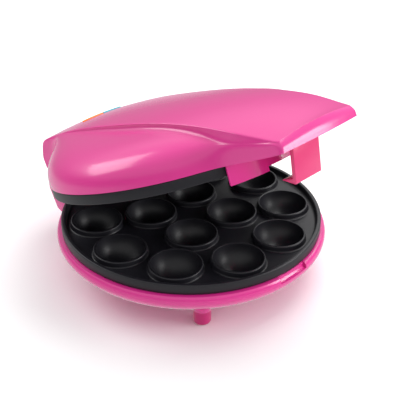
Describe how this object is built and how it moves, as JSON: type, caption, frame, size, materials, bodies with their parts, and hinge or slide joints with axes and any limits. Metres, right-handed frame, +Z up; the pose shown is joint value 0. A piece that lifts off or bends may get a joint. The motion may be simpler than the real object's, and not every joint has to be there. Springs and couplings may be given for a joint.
{
  "type": "electric cake ball maker",
  "caption": "Countertop electric maker for ball-shaped cakes: hinged round clam-shell with coated plates full of half-round hollows, nose handle and clip.",
  "frame": {"origin": "on the table under the middle of the object's box, with the lid ajar as at rest", "axes": "+Z up, -Y towards the nose and clip at the front, hinge at +Y, +X to the right seen from the front"},
  "size_m": [0.2078, 0.2481, 0.1585],
  "materials": {
    "pink_plastic": "glossy",
    "clip_plastic": "glossy",
    "foot_rubber": "satin",
    "cast_coated": "satin",
    "heater_tube": "satin",
    "sheet_steel": "satin",
    "bracket_steel": "satin",
    "screw_steel": "satin",
    "pin_steel": "polished",
    "terminal_plastic": "matte",
    "gland_rubber": "matte",
    "fuse_body": "satin",
    "thermostat_body": "matte",
    "lamp_glass": "glossy",
    "orange_lens": "glossy",
    "cyan_lens": "glossy"
  },
  "bodies": {
    "base": {"lower_housing": "pink_plastic", "lower_plate": "cast_coated", "lower_heater": "heater_tube", "lower_heater_clips": "bracket_steel", "lower_clip_screws": "screw_steel", "lower_reflector": "sheet_steel", "lower_plate_screws": "screw_steel", "feet": "foot_rubber", "terminal_block": "terminal_plastic", "terminal_screw": "screw_steel", "cord_gland": "gland_rubber", "thermal_fuse": "fuse_body", "fuse_strap": "bracket_steel", "hinge_pins": "pin_steel"},
    "lid": {"upper_cover": "pink_plastic", "upper_frame": "pink_plastic", "upper_plate": "cast_coated", "upper_heater": "heater_tube", "upper_heater_clips": "bracket_steel", "upper_clip_screws": "screw_steel", "upper_reflector": "sheet_steel", "upper_plate_screws": "screw_steel", "cover_screws": "screw_steel", "thermostat": "thermostat_body", "lamp_holder": "terminal_plastic", "neon_lamps": "lamp_glass", "orange_lens": "orange_lens", "cyan_lens": "cyan_lens", "latch_pin": "pin_steel"},
    "clip": {"latch_clip": "clip_plastic"}
  },
  "joints": [
    {"name": "lid_hinge", "type": "hinge", "parent": "base", "child": "lid", "pos_m": [0, 0.11276, 0.0391], "axis": [-1, 0, 0], "range_deg": [-21, 74]},
    {"name": "clip_pivot", "type": "hinge", "parent": "lid", "child": "clip", "pos_m": [0, -0.10141, 0.13888], "axis": [1, 0, 0], "range_deg": [-15, 32]}
  ]
}
